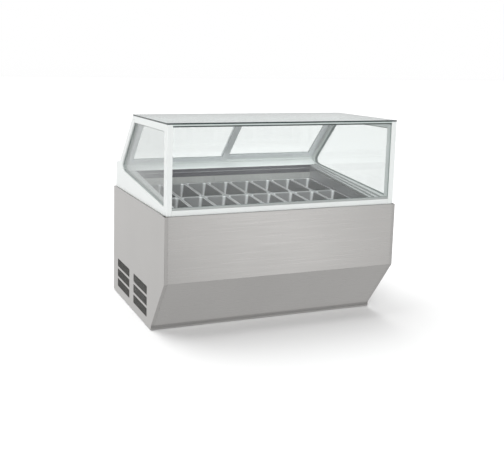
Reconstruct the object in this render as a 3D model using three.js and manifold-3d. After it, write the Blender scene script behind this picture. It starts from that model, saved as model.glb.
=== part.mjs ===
// Ice cream dipping cabinet with a glazed display top.
// Millimetres, +Z up, customer side facing -Y, origin on the floor under the middle of the cabinet.

import * as THREE from 'three';
import { mergeVertices } from 'three/addons/utils/BufferGeometryUtils.js';
import Module from 'manifold-3d';

const wasm = await Module();
wasm.setup();

// ---------------------------------------------------------------------------
// Driving dimensions
// ---------------------------------------------------------------------------

// The pans set the length and the depth of the cabinet.
const panColumns = 8;
const panRows = 2;
const panLength = 360;
const panWidth = 165;
const panHeight = 120;
const panGap = 3; // between the rims of two columns
const panRowGap = 5;
const panTilt = THREE.MathUtils.degToRad(4.9);

const steelTop = 770; // top of the steel casing
const glassHeight = 545; // steel top to the top face of the roof glass
const creaseHeight = 366; // where the front starts to slope back to the toe
const toeRecess = 245; // how far the toe stands behind the front
const toeLip = 25; // upright lip under the slope
const skirtGap = 6; // floor to the lower edge of the casing
const fit = 0.3; // gap between pieces that touch

// Casing sheet
const sheet = 1.5;
const sideReturn = 20; // the side panels' fold seen beside the front panel
const topFlange = 45; // ledge folded in at the top of the casing
const bottomFlange = 18;
const backInset = 14; // white back to steel back

// Feet and base frame
const footPadRadius = 24;
const footPadHeight = 10;
const footPadBevel = 3;
const footStemRadius = 6;
const footStemLength = 16;
const footRunning = 0.3;
const baseTube = 30;
const baseInset = 14; // base frame inside the casing
const footInset = 60; // foot axis in from the corners of the base frame

// Side vents
const ventRows = 3;
const ventGroups = 2;
const ventHeight = 56;
const ventPitch = 72.5;
const ventBottom = 60;
const ventRearMargin = 115;
const ventToeMargin = 90;
const ventGap = 100;
const ventCorner = 5;
const ventMeshLap = 8;

// Glass house
const frameInset = 12; // white side frames stand in from the steel
const frameThickness = 35;
const topGlassThickness = 9;
const roofDepth = 704; // front of the frames to the rear edge of the roof
const shelfLength = 98; // foot of the slope to the white back
const shelfDrop = 18;
const windowFront = 50; // width of the frame in front of the window
const windowTop = 42;
const windowSlope = 48; // width of the frame behind the window, square to the slope
const windowSill = 45; // steel top to the lower edge of the window at its front
const windowCorner = 10;
const windowLowCorner = 45;
const sidePane = 12;
const frontPane = 8;
const paneSetback = 4;
const sillHeight = 33;
const sillDepth = 48;
const sealHeight = 14;
const railHeight = 15;
const railDepth = 20;

// Sliding doors in the slope
const doorThickness = 14;
const doorStile = 44; // the two middle stiles stand behind each other
const doorPane = 5;
const trackLip = 5.5; // slope surface to the first track
const trackWall = 3; // wall between the tracks
const trackClearance = 0.8;
const trackBite = 8; // how deep a door edge sits in its track
const topRailLength = 30;
const topRailBack = 34;
const doorSideGap = 1.2;
const pullLength = 90;
const pullWidth = 16;
const pullDepth = 4;

// Rear sill
const sillSheet = 2;
const sillGap = 1.8; // rear coaming to the sill
const sillRun = 89; // inner edge of the sill to the foot of the slope
const sillClimb = 62;

// Pans
const panRim = 9;
const panWall = 1.2;
const panCorner = 26;
const panRimCorner = 14;

// Pan rack
const rackBar = 12; // height of the rack's bars
const rackSide = 13; // rack bar beyond the rims
const rackLeg = 12;
const rackClearance = 0.5;

// Well
const linerSheet = 1.2;
const wellSideGap = 14.5; // rims to the wall of the well
const wellBackGap = 6.6; // lowest rear corner of the pans to the wall
const ledgeStart = 6; // white sill to the well
const ledgeDepth = 114;
const ledgeToPans = 15.8;
const ledgeDrop = 14;
const ledgeSlots = 12;
const ledgeSlotWidth = 30;
const ledgeSlotShare = 0.38; // half a slot's length over the pitch of the slots
const rimLift = 2; // steel top to the rim of the well at its front
const panDrop = 31; // rim of the well to the front pans' rims
const rearWallRise = 45; // rear pans' rims to the top of the rear wall
const rearRiserHeight = 32;
const rearUpperRiser = 23;
const rearTread = 11;
const airSpace = 81.4; // under the lowest pans
const coamingWidth = 58;
const coamingTreads = [15, 22]; // first two treads, the third runs to the frame
const rimStep = 14; // height of a step of the coaming
const rimFlatten = 0.00055; // each mm outwards takes this from the rim's climb

// Insulation
const foamWall = 75;
const foamFloor = 60;
const foamRear = 62;
const foamUnderRim = 4;

// Machinery
const condenser = { inset: 36.5, behindToe: 255, bottom: 56, thickness: 50, length: 360, height: 240 };
const finPlates = 10;
const fanRadius = 100;
const fanHub = 22;
const fanHubLength = 20;
const fanBladeThickness = 3;
const fanBladeWidth = 34;
const fanBladePitch = THREE.MathUtils.degToRad(28);
const fanBladeCount = 5;
const fanClearance = 12;
const motorRadius = 34;
const motorLength = 60;
const motorSole = { length: 70, halfWidth: 60, height: 4 };
const compressor = { x: 330, fromBack: 390, radius: 82, height: 190, sole: 110, soleHeight: 13 };
const evaporator = { halfLength: 420, halfDepth: 170, height: 52, grooves: 8 };
const lineRadius = 5;

// Controls on the back of the rear sill
const control = { x: 470, halfWidth: 130, halfHeight: 50, plate: 2, cutInset: 10 };
const knobRadius = 17;
const knobDepth = 10;
const pointerWidth = 3.2;
const pointerProud = 1;
const shaftRadius = 3;
const shaftLength = 18;
const shaftClearance = 0.3;
const rockerWidth = 26;
const rockerHeight = 16;
const rockerDepth = 9;
const rockerClearance = 0.6;

// Rear panel
const louvreCount = 7;
const louvreLength = 340;
const louvreHeight = 12;
const louvrePitch = 30;
const louvreBottom = 90;
const louvreX = -380;
const inlet = { inset: 148.5, height: 110, width: 48, tall: 30, depth: 22, plate: 3, lap: 8, wall: 4 };

// ---------------------------------------------------------------------------
// Worked-out places
// ---------------------------------------------------------------------------

const panPitch = panWidth + panGap;
const panRowPitch = panLength + panRowGap;
const rimsHalfX = ((panColumns - 1) * panPitch + panWidth) / 2;
const rimsHalfY = ((panRows - 1) * panRowPitch + panLength) / 2;

// Across the cabinet, from the middle outwards.
const wellHalfWidth = rimsHalfX + wellSideGap;
const frameInner = wellHalfWidth + coamingWidth;
const frameOuter = frameInner + frameThickness;
const halfWidth = frameOuter + frameInset;
const casingInner = halfWidth - sheet;
const betweenFrames = frameInner - fit;

// From the steel front towards the back.
const wellFront = frameInset + sillDepth + ledgeStart;
const ledgeBack = wellFront + ledgeDepth;
const panPlaneDepth = ledgeBack + ledgeToPans + rimsHalfY * Math.cos(panTilt);
const pansBack = panPlaneDepth + rimsHalfY * Math.cos(panTilt) + panHeight * Math.sin(panTilt);
const wellBack = pansBack + wellBackGap;
const sillFrontDepth = wellBack + rearTread + linerSheet + sillGap;
const slopeFootDepth = sillFrontDepth + sillRun;
const backShelfDepth = slopeFootDepth + shelfLength;
const depth = backShelfDepth + backInset;
const front = -depth / 2;
const back = depth / 2;
const fromFront = (distance) => front + distance;
const frameFront = fromFront(frameInset);
const shelfBack = fromFront(backShelfDepth);

// From the floor up.
const rimFront = steelTop + rimLift;
const panPlaneHeight = rimFront - panDrop + rimsHalfY * Math.sin(panTilt);
const pansBottom = rimFront - panDrop - panHeight * Math.cos(panTilt);
const wellFloor = pansBottom - airSpace;
const rearWallTop = panPlaneHeight + rimsHalfY * Math.sin(panTilt) + rearWallRise;
const rearRiser = rearWallTop + rearRiserHeight;
const sillFrontEdge = rearRiser + rearUpperRiser;
const slopeFootHeight = sillFrontEdge + sillClimb;
const backShelfHeight = slopeFootHeight - shelfDrop;
const glassTop = steelTop + glassHeight;
const roofUnderside = glassTop - topGlassThickness;
const frameTop = roofUnderside - fit;
const frameBottom = steelTop + fit;
const sillTop = steelTop + sillHeight;
const controlHeight = (steelTop + backShelfHeight) / 2;

// The rim of the well climbs from the ledge to the rear sill.
const rimRise = (sillFrontEdge - rimStep - rimFront) / (wellBack - wellFront);
const rimHeight = (x, y) => {
  const climb = rimRise - rimFlatten * (Math.abs(x) - wellHalfWidth);
  return rimFront + climb * (y - fromFront(wellFront));
};

// The slope runs from the rear edge of the roof down to its foot.
const slopeTop = new THREE.Vector2(fromFront(frameInset + roofDepth), frameTop);
const slopeFoot = new THREE.Vector2(fromFront(slopeFootDepth), slopeFootHeight);
const slopeVector = slopeFoot.clone().sub(slopeTop);
const slopeLength = slopeVector.length();
const slopeDown = slopeVector.clone().normalize();
const slopeOut = new THREE.Vector2(-slopeDown.y, slopeDown.x);
const slopeAngle = Math.atan2(slopeDown.y, slopeDown.x);
const slopePoint = (along, inward) => [
  slopeTop.x + slopeDown.x * along - slopeOut.x * inward,
  slopeTop.y + slopeDown.y * along - slopeOut.y * inward,
];

const trackWidth = doorThickness + 2 * trackClearance;
const outerTrack = trackLip;
const innerTrack = trackLip + trackWidth + trackWall;
const railInward = innerTrack + trackWidth + trackLip;
const doorFromTop = topRailLength - trackBite;
const trackPlate = slopeLength - sillSheet;
const doorToFoot = trackPlate - sillSheet - 2 * trackClearance;

// ---------------------------------------------------------------------------
// Solids
// ---------------------------------------------------------------------------

const toSolid = (geometry) => {
  const plain = geometry.clone();
  plain.deleteAttribute('normal');
  plain.deleteAttribute('uv');
  const merged = mergeVertices(plain, 1e-4);
  const vertProperties = new Float32Array(merged.attributes.position.array);
  const triVerts = new Uint32Array(merged.index.array);
  return new wasm.Manifold(new wasm.Mesh({ numProp: 3, vertProperties, triVerts }));
};

const toGeometry = (solid) => {
  const mesh = solid.getMesh();
  const geometry = new THREE.BufferGeometry();
  geometry.setAttribute('position', new THREE.BufferAttribute(mesh.vertProperties, 3));
  geometry.setIndex(new THREE.BufferAttribute(mesh.triVerts, 1));
  return geometry;
};

const join = (...geometries) => {
  const solids = geometries.map(toSolid);
  return toGeometry(solids.reduce((sum, solid) => sum.add(solid)));
};

const cut = (geometry, ...tools) => {
  const solids = tools.map(toSolid);
  return toGeometry(solids.reduce((rest, solid) => rest.subtract(solid), toSolid(geometry)));
};

const box = (x0, x1, y0, y1, z0, z1) => {
  const geometry = new THREE.BoxGeometry(x1 - x0, y1 - y0, z1 - z0);
  return geometry.translate((x0 + x1) / 2, (y0 + y1) / 2, (z0 + z1) / 2);
};

const shapeOf = (points) => new THREE.Shape(points.map(([u, v]) => new THREE.Vector2(u, v)));

const extrude = (shape, length, curveSegments = 3) =>
  new THREE.ExtrudeGeometry(shape, { depth: length, bevelEnabled: false, curveSegments });

const upright = new THREE.Matrix4().makeBasis(
  new THREE.Vector3(0, 1, 0),
  new THREE.Vector3(0, 0, 1),
  new THREE.Vector3(1, 0, 0),
);

// A shape drawn in (y, z), run along X.
const alongX = (shape, x0, x1, curveSegments) =>
  extrude(shape, x1 - x0, curveSegments).applyMatrix4(upright).translate(x0, 0, 0);

// A shape drawn in (x, z), run along Y.
const alongY = (shape, y0, y1, curveSegments) =>
  extrude(shape, y1 - y0, curveSegments).rotateX(Math.PI / 2).translate(0, y1, 0);

const cylinder = (radius, length, sides = 20) =>
  new THREE.CylinderGeometry(radius, radius, length, sides);

// A polygon whose corners are rounded, each by its own radius.
const roundedPolygon = (points, radii) => {
  const shape = new THREE.Shape();
  const corners = points.map(([u, v]) => new THREE.Vector2(u, v));
  corners.forEach((corner, i) => {
    const before = corners[(i + corners.length - 1) % corners.length];
    const after = corners[(i + 1) % corners.length];
    const incoming = before.clone().sub(corner).normalize();
    const outgoing = after.clone().sub(corner).normalize();
    const half = Math.acos(THREE.MathUtils.clamp(incoming.dot(outgoing), -1, 1)) / 2;
    const reach = radii[i] / Math.tan(half);
    const start = corner.clone().addScaledVector(incoming, reach);
    const end = corner.clone().addScaledVector(outgoing, reach);
    if (i === 0) {
      shape.moveTo(start.x, start.y);
    } else {
      shape.lineTo(start.x, start.y);
    }
    shape.quadraticCurveTo(corner.x, corner.y, end.x, end.y);
  });
  shape.closePath();
  return shape;
};

const rectangle = (u0, u1, v0, v1) => [
  [u0, v0],
  [u1, v0],
  [u1, v1],
  [u0, v1],
];

const roundedRectangle = (u0, u1, v0, v1, radius) =>
  roundedPolygon(rectangle(u0, u1, v0, v1), [radius, radius, radius, radius]);

// The outline of a bent sheet: the given line, and the same line shifted to its left.
const bentSheet = (points, thickness) => {
  const line = points.map(([u, v]) => new THREE.Vector2(u, v));
  const normals = [];
  for (let i = 0; i + 1 < line.length; i += 1) {
    const run = line[i + 1].clone().sub(line[i]).normalize();
    normals.push(new THREE.Vector2(-run.y, run.x));
  }
  const shifted = line.map((point, i) => {
    const one = normals[Math.max(i - 1, 0)];
    const other = normals[Math.min(i, normals.length - 1)];
    const mitre = one.clone().add(other);
    return point.clone().addScaledVector(mitre, (2 * thickness) / mitre.lengthSq());
  });
  return new THREE.Shape([...line, ...shifted.reverse()]);
};

// ---------------------------------------------------------------------------
// Materials
// ---------------------------------------------------------------------------

const finish = (name, color, roughness, metalness, opacity = 1) =>
  new THREE.MeshStandardMaterial({
    name,
    color,
    roughness,
    metalness,
    opacity,
    transparent: opacity < 1,
  });

const brushedSteel = finish('brushed_steel', 0xbdbcb8, 0.38, 0.9);
const panSteel = finish('pan_steel', 0xb8babd, 0.25, 1);
const whiteCoat = finish('white_coat', 0xeef1ef, 0.45, 0);
const anodised = finish('anodised', 0xc4cbc8, 0.4, 0.8);
const clearGlass = finish('clear_glass', 0xdfe8e6, 0.05, 0, 0.3);
const roofGlass = finish('roof_glass', 0xc9d5d3, 0.05, 0, 0.5);
const rubber = finish('rubber', 0x8d9291, 0.7, 0);
const darkMesh = finish('dark_mesh', 0x4a4945, 0.6, 0.3);
const foam = finish('foam', 0xe9dfae, 0.95, 0);
const galvanised = finish('galvanised', 0x8f9496, 0.5, 0.7);
const blackPlastic = finish('black_plastic', 0x1d1e20, 0.5, 0);
const blackEnamel = finish('black_enamel', 0x17181a, 0.35, 0.2);
const finnedAluminium = finish('finned_aluminium', 0xa9adb0, 0.45, 0.8);
const copper = finish('copper', 0xb87349, 0.35, 1);

const cabinet = new THREE.Group();

const add = (name, geometry, material, parent = cabinet) => {
  const mesh = new THREE.Mesh(geometry, material);
  mesh.name = name;
  parent.add(mesh);
  return mesh;
};

const sides = [
  { name: 'left', sign: -1 },
  { name: 'right', sign: 1 },
];

// Runs a (y, z) shape between two distances from the middle, on the given side.
const onSide = (shape, sign, inner, outer, curveSegments) =>
  alongX(shape, Math.min(sign * inner, sign * outer), Math.max(sign * inner, sign * outer), curveSegments);

// A box between two distances from the middle, on the given side.
const sideBox = (sign, inner, outer, y0, y1, z0, z1) =>
  box(Math.min(sign * inner, sign * outer), Math.max(sign * inner, sign * outer), y0, y1, z0, z1);

// ---------------------------------------------------------------------------
// Steel casing
// ---------------------------------------------------------------------------

const toe = fromFront(toeRecess);
const slopeStart = skirtGap + toeLip;

// The line of the customer side, from the toe up.
const frontLine = [
  [toe, skirtGap],
  [toe, slopeStart],
  [front, creaseHeight],
];

const ventRoom = back - ventRearMargin - (toe + ventToeMargin);
const ventLength = (ventRoom - (ventGroups - 1) * ventGap) / ventGroups;

const ventCuts = () => {
  const cuts = [];
  for (let group = 0; group < ventGroups; group += 1) {
    const y1 = back - ventRearMargin - group * (ventLength + ventGap);
    for (let row = 0; row < ventRows; row += 1) {
      const z0 = ventBottom + row * ventPitch;
      const hole = roundedRectangle(y1 - ventLength, y1, z0, z0 + ventHeight, ventCorner);
      cuts.push(alongX(hole, -halfWidth - sheet, -casingInner + sheet, 2));
    }
  }
  return cuts;
};

const buildSidePanels = () => {
  const outline = shapeOf([...frontLine, [front, steelTop], [back, steelTop], [back, skirtGap]]);
  const returnLine = [...frontLine, [front, steelTop]];
  sides.forEach(({ name, sign }) => {
    const flangeFront = fromFront(topFlange + fit);
    let panel = join(
      onSide(outline, sign, casingInner, halfWidth),
      onSide(bentSheet(returnLine.toReversed(), sheet), sign, halfWidth - sideReturn, halfWidth),
      sideBox(sign, halfWidth - topFlange, halfWidth, flangeFront, back, steelTop - sheet, steelTop),
    );
    if (sign < 0) {
      panel = cut(panel, ...ventCuts());
    }
    add(`side_panel_${name}`, panel, brushedSteel);
  });
};

const buildFrontPanel = () => {
  const line = [
    [toe + bottomFlange, skirtGap],
    ...frontLine,
    [front, steelTop],
    [fromFront(topFlange), steelTop],
  ];
  const half = halfWidth - sideReturn - fit;
  const skin = alongX(bentSheet(line.toReversed(), sheet), -half, half);
  add('front_panel', skin, brushedSteel);
};

const inletX = casingInner - inlet.inset;

const buildRearPanel = () => {
  const half = casingInner - fit;
  const skin = box(-half, half, back - sheet, back, skirtGap, steelTop - sheet - fit);
  const cuts = [];
  for (let i = 0; i < louvreCount; i += 1) {
    const z0 = louvreBottom + i * louvrePitch;
    const x0 = louvreX - louvreLength / 2;
    cuts.push(box(x0, x0 + louvreLength, back - 2 * sheet, back + sheet, z0, z0 + louvreHeight));
  }
  cuts.push(box(inletX - inlet.width / 2, inletX + inlet.width / 2, back - 2 * sheet, back + sheet,
    inlet.height - inlet.tall / 2, inlet.height + inlet.tall / 2));
  add('rear_panel', cut(skin, ...cuts), brushedSteel);
};

const buildVentMesh = () => {
  const y1 = back - ventRearMargin + ventMeshLap;
  const y0 = back - ventRearMargin - ventGroups * (ventLength + ventGap) + ventGap - ventMeshLap;
  const z1 = ventBottom + (ventRows - 1) * ventPitch + ventHeight + ventMeshLap;
  const outer = casingInner - fit;
  const plate = sideBox(-1, outer - sheet, outer, y0, y1, ventBottom - ventMeshLap, z1);
  add('vent_mesh', plate, darkMesh);
};

// ---------------------------------------------------------------------------
// Base
// ---------------------------------------------------------------------------

const baseHalf = casingInner - baseInset;
const baseFront = toe + bottomFlange + baseInset;
const baseBack = back - sheet - baseInset;
const foamBottom = wellFloor - linerSheet - 2 * fit - foamFloor;
const footPlaces = [
  { name: 'front_left', x: -baseHalf + footInset, y: baseFront + baseTube / 2 },
  { name: 'front_right', x: baseHalf - footInset, y: baseFront + baseTube / 2 },
  { name: 'rear_left', x: -baseHalf + footInset, y: baseBack - baseTube / 2 },
  { name: 'rear_right', x: baseHalf - footInset, y: baseBack - baseTube / 2 },
];

const buildBase = () => {
  const z0 = footPadHeight + fit;
  const z1 = z0 + baseTube;
  const posts = [];
  [-baseHalf, baseHalf - baseTube].forEach((x) => {
    [baseFront, baseBack - baseTube].forEach((y) => {
      posts.push(box(x, x + baseTube, y, y + baseTube, z0, foamBottom - fit));
    });
  });
  const ring = cut(
    box(-baseHalf, baseHalf, baseFront, baseBack, z0, z1),
    box(-baseHalf + baseTube, baseHalf - baseTube, baseFront + baseTube, baseBack - baseTube,
      z0 - fit, z1 + fit),
  );
  const shelf = box(-baseHalf + 1, baseHalf - 1, baseFront + 1, baseBack - 1, z1 - sheet, z1);
  const holeLength = footStemLength + 2 * fit;
  const holes = footPlaces.map(({ x, y }) =>
    cylinder(footStemRadius + footRunning, holeLength + baseTube, 12)
      .rotateX(Math.PI / 2)
      .translate(x, y, z0 + holeLength / 2 - baseTube / 2));
  add('base_frame', cut(join(ring, shelf, ...posts), ...holes), galvanised);

  const profile = [
    [0, 0],
    [footPadRadius, 0],
    [footPadRadius, footPadHeight - footPadBevel],
    [footStemRadius, footPadHeight],
    [footStemRadius, footPadHeight + footStemLength],
    [0, footPadHeight + footStemLength],
  ];
  const points = profile.map(([r, z]) => new THREE.Vector2(r, z));
  footPlaces.forEach(({ name, x, y }) => {
    const foot = add(`foot_${name}`, new THREE.LatheGeometry(points, 12).rotateX(Math.PI / 2), blackPlastic);
    foot.position.set(x, y, 0);
  });
};

// ---------------------------------------------------------------------------
// Insulated well
// ---------------------------------------------------------------------------

const linerHalf = wellHalfWidth + linerSheet;
const linerFront = fromFront(wellFront) - linerSheet;
const linerBack = fromFront(wellBack) + linerSheet;
const rimAtFront = rimFront - sheet;

const buildInsulation = () => {
  const outerFront = front + sheet + fit;
  const innerFront = linerFront - fit;
  const innerBack = linerBack + fit;
  const outerBack = innerBack + foamRear;
  const underFlange = steelTop - sheet - foamUnderRim;
  const floorTop = wellFloor - linerSheet - fit;
  const foamBase = floorTop - foamFloor;
  const trough = shapeOf([
    [outerFront, foamBase],
    [outerBack, foamBase],
    [outerBack, rearWallTop - foamUnderRim],
    [innerBack, rearWallTop - foamUnderRim],
    [innerBack, floorTop],
    [innerFront, floorTop],
    [innerFront, underFlange],
    [outerFront, underFlange],
  ]);
  const inner = linerHalf + fit;
  add('insulation_trough', alongX(trough, -inner + fit, inner - fit), foam);

  const innerTop = (y) => rimHeight(wellHalfWidth, y) - foamUnderRim;
  const tall = shapeOf([
    [outerFront, foamBase],
    [outerBack, foamBase],
    [outerBack, rearWallTop],
    [fromFront(wellBack), rearWallTop],
    [fromFront(wellBack), innerTop(fromFront(wellBack))],
    [fromFront(wellFront), underFlange],
    [outerFront, underFlange],
  ]);
  const low = shapeOf(rectangle(outerFront, outerBack, foamBase, underFlange));
  sides.forEach(({ name, sign }) => {
    const slab = join(
      onSide(tall, sign, inner, frameInner - fit),
      onSide(low, sign, frameInner - 1, inner + foamWall),
    );
    add(`insulation_${name}`, slab, foam);
  });
};

const buildLiner = () => {
  const outline = shapeOf([
    [linerFront, wellFloor - linerSheet],
    [linerBack, wellFloor - linerSheet],
    [linerBack, rearWallTop],
    [fromFront(wellBack), rearWallTop],
    [fromFront(wellBack), rimHeight(wellHalfWidth, fromFront(wellBack)) - sheet],
    [fromFront(wellFront), rimAtFront],
    [linerFront, rimAtFront],
  ]);
  const block = alongX(outline, -linerHalf, linerHalf);
  const inside = box(-wellHalfWidth, wellHalfWidth, fromFront(wellFront), fromFront(wellBack),
    wellFloor, glassTop);
  add('tub_liner', cut(block, inside), panSteel);
};

// Lifts a level piece onto the climbing rim: its underside follows the well's own rim,
// and its treads flatten a little towards the side frames.
const ontoRim = (geometry) => {
  const points = geometry.attributes.position;
  for (let i = 0; i < points.count; i += 1) {
    const outwards = points.getZ(i) > fit ? points.getX(i) : wellHalfWidth;
    points.setZ(i, points.getZ(i) + rimHeight(outwards, points.getY(i)));
  }
  return geometry;
};

const coamingEnd = fromFront(wellBack) - fit;

const buildCoamings = () => {
  const [first, second] = coamingTreads;
  const riser1 = wellHalfWidth;
  const riser2 = riser1 + first;
  const riser3 = riser2 + second;
  const stairs = [
    [riser1, 0],
    [riser1, rimStep],
    [riser2, rimStep],
    [riser2, 2 * rimStep],
    [riser3, 2 * rimStep],
    [riser3, 3 * rimStep],
    [betweenFrames, 3 * rimStep],
    [betweenFrames, 0],
  ];
  sides.forEach(({ name, sign }) => {
    const shape = shapeOf(stairs.map(([x, z]) => [sign * x, z]));
    const coaming = ontoRim(alongY(shape, fromFront(wellFront), coamingEnd));
    add(`coaming_${name}`, coaming, anodised);
  });
  const rearLine = [
    [fromFront(wellBack), rearWallTop + fit],
    [fromFront(wellBack), rearRiser],
    [fromFront(wellBack + rearTread), rearRiser],
    [fromFront(wellBack + rearTread), sillFrontEdge],
  ];
  const shape = bentSheet(rearLine.toReversed(), linerSheet);
  add('coaming_rear', alongX(shape, -betweenFrames, betweenFrames), panSteel);
};

const buildFrontLedge = () => {
  const line = [
    [fromFront(wellFront) + fit, rimFront],
    [fromFront(ledgeBack), rimFront],
    [fromFront(ledgeBack), rimFront - ledgeDrop],
  ];
  const half = wellHalfWidth - fit;
  const ledge = alongX(bentSheet(line.toReversed(), linerSheet), -half, half);
  const slotPitch = (2 * half) / ledgeSlots;
  const middle = fromFront((wellFront + ledgeBack) / 2);
  const slots = [];
  for (let i = 0; i < ledgeSlots; i += 1) {
    const centre = -half + (i + 0.5) * slotPitch;
    const reach = slotPitch * ledgeSlotShare;
    slots.push(box(centre - reach, centre + reach, middle - ledgeSlotWidth / 2, middle + ledgeSlotWidth / 2,
      rimFront - ledgeDrop / 2, rimFront + ledgeDrop / 2));
  }
  add('front_ledge', cut(ledge, ...slots), panSteel);
};

// ---------------------------------------------------------------------------
// Pans and the rack they hang in
// ---------------------------------------------------------------------------

const panPlane = new THREE.Vector2(fromFront(panPlaneDepth), panPlaneHeight);
const panGroup = new THREE.Group();
panGroup.position.set(0, panPlane.x, panPlane.y);
panGroup.rotation.x = panTilt;
cabinet.add(panGroup);

const panGeometry = () => {
  const halfX = panWidth / 2;
  const halfY = panLength / 2;
  const bodyX = halfX - panRim;
  const bodyY = halfY - panRim;
  const rim = extrude(roundedRectangle(-halfX, halfX, -halfY, halfY, panRimCorner), panWall, 2);
  const body = extrude(roundedRectangle(-bodyX, bodyX, -bodyY, bodyY, panCorner), panHeight);
  const cavity = extrude(
    roundedRectangle(-bodyX + panWall, bodyX - panWall, -bodyY + panWall, bodyY - panWall, panCorner - panWall),
    panHeight,
  );
  body.translate(0, 0, -panHeight + panWall);
  cavity.translate(0, 0, -panHeight + 2 * panWall);
  return cut(join(rim, body), cavity);
};

const buildPans = () => {
  const geometry = panGeometry();
  for (let row = 0; row < panRows; row += 1) {
    for (let column = 0; column < panColumns; column += 1) {
      const label = `${row === 0 ? 'front' : 'rear'}_${column + 1}`;
      const pan = add(`pan_${label}`, geometry, panSteel, panGroup);
      pan.position.set(
        (column - (panColumns - 1) / 2) * panPitch,
        (row - (panRows - 1) / 2) * panRowPitch,
        0,
      );
    }
  }
};

const buildRack = () => {
  const openX = rimsHalfX - panRim + rackClearance;
  const openY = rimsHalfY - panRim + rackClearance;
  const outerX = rimsHalfX + rackSide;
  const outerY = rimsHalfY + panRim;
  const middleBar = panRowGap / 2 + panRim - rackClearance;
  const top = -fit;
  const grid = cut(
    box(-outerX, outerX, -outerY, outerY, top - rackBar, top),
    box(-openX, openX, middleBar, openY, -2 * rackBar, rackBar),
    box(-openX, openX, -openY, -middleBar, -2 * rackBar, rackBar),
  );
  grid.rotateX(panTilt).translate(0, panPlane.x, panPlane.y);
  const legs = [];
  [-1, 1].forEach((end) => {
    const along = end * (outerY - rackLeg / 2);
    const y = panPlane.x + along * Math.cos(panTilt);
    const z = panPlane.y + along * Math.sin(panTilt) - rackBar / 2;
    [-outerX, outerX - rackLeg].forEach((x) => {
      legs.push(box(x, x + rackLeg, y - rackLeg / 2, y + rackLeg / 2, wellFloor + fit, z));
    });
  });
  add('pan_rack', join(grid, ...legs), panSteel);
};

// ---------------------------------------------------------------------------
// Glass house
// ---------------------------------------------------------------------------

const windowCorners = (margin) => {
  const innerFront = frameFront + windowFront + margin;
  const top = frameTop - windowTop - margin;
  const sillRise = rimRise - rimFlatten * coamingWidth; // as the coaming climbs along the frame
  const sill = (y) => steelTop + windowSill + margin + sillRise * (y - frameFront - windowFront);
  const inward = windowSlope + margin;
  // Where the window's slope meets its top, and where it meets its rising lower edge.
  const [slopeY, slopeZ] = slopePoint(0, inward);
  const climb = slopeDown.y / slopeDown.x;
  const topY = slopeY + (top - slopeZ) / climb;
  const lowY = (sill(0) - slopeZ + climb * slopeY) / (climb - sillRise);
  return [
    [innerFront, sill(innerFront)],
    [lowY, sill(lowY)],
    [topY, top],
    [innerFront, top],
  ];
};

const windowShape = (margin) =>
  roundedPolygon(windowCorners(margin), [
    windowCorner - margin,
    windowLowCorner - margin,
    windowCorner - margin,
    windowCorner - margin,
  ]);

const buildSideFrames = () => {
  const outline = [
    [frameFront, frameBottom],
    [fromFront(backShelfDepth), frameBottom],
    [fromFront(backShelfDepth), backShelfHeight],
    [slopeFoot.x, slopeFoot.y],
    [slopeTop.x, slopeTop.y],
    [frameFront, frameTop],
  ];
  sides.forEach(({ name, sign }) => {
    const shape = shapeOf(outline);
    shape.holes.push(windowShape(0));
    add(`side_frame_${name}`, onSide(shape, sign, frameInner, frameOuter), whiteCoat);
    const middle = (frameInner + frameOuter) / 2;
    const pane = onSide(windowShape(fit), sign, middle - sidePane / 2, middle + sidePane / 2);
    add(`side_glass_${name}`, pane, clearGlass);
  });
};

const buildFrontGlass = () => {
  const y0 = frameFront;
  const sealTop = sillTop + fit + sealHeight;
  const paneFront = y0 + paneSetback;
  const railBottom = frameTop - railHeight;
  add('front_sill', box(-betweenFrames, betweenFrames, y0, y0 + sillDepth, frameBottom, sillTop), whiteCoat);
  add('front_glass_seal', box(-betweenFrames, betweenFrames, y0 + paneSetback / 2,
    paneFront + frontPane + paneSetback, sillTop + fit, sealTop), rubber);
  add('front_glass', box(-betweenFrames, betweenFrames, paneFront, paneFront + frontPane,
    sealTop + fit, railBottom - fit), clearGlass);
  add('top_front_rail', box(-betweenFrames, betweenFrames, y0 + paneSetback / 2, y0 + railDepth,
    railBottom, frameTop), anodised);
  add('top_glass', box(-frameOuter, frameOuter, y0, slopeTop.x, roofUnderside, glassTop), roofGlass);
};

const buildRearTopRail = () => {
  const grooveTop = doorFromTop - 2 * trackClearance;
  const outline = [
    slopePoint(0, 0),
    [slopeTop.x - railInward * 1.5, slopeTop.y],
    [slopeTop.x - railInward * 1.5, slopeTop.y - topRailBack],
    slopePoint(topRailLength, railInward),
    slopePoint(topRailLength, innerTrack + trackWidth),
    slopePoint(grooveTop, innerTrack + trackWidth),
    slopePoint(grooveTop, innerTrack),
    slopePoint(topRailLength, innerTrack),
    slopePoint(topRailLength, outerTrack + trackWidth),
    slopePoint(grooveTop, outerTrack + trackWidth),
    slopePoint(grooveTop, outerTrack),
    slopePoint(topRailLength, outerTrack),
    slopePoint(topRailLength, 0),
  ];
  add('rear_top_rail', alongX(shapeOf(outline), -betweenFrames, betweenFrames), anodised);
};

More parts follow.
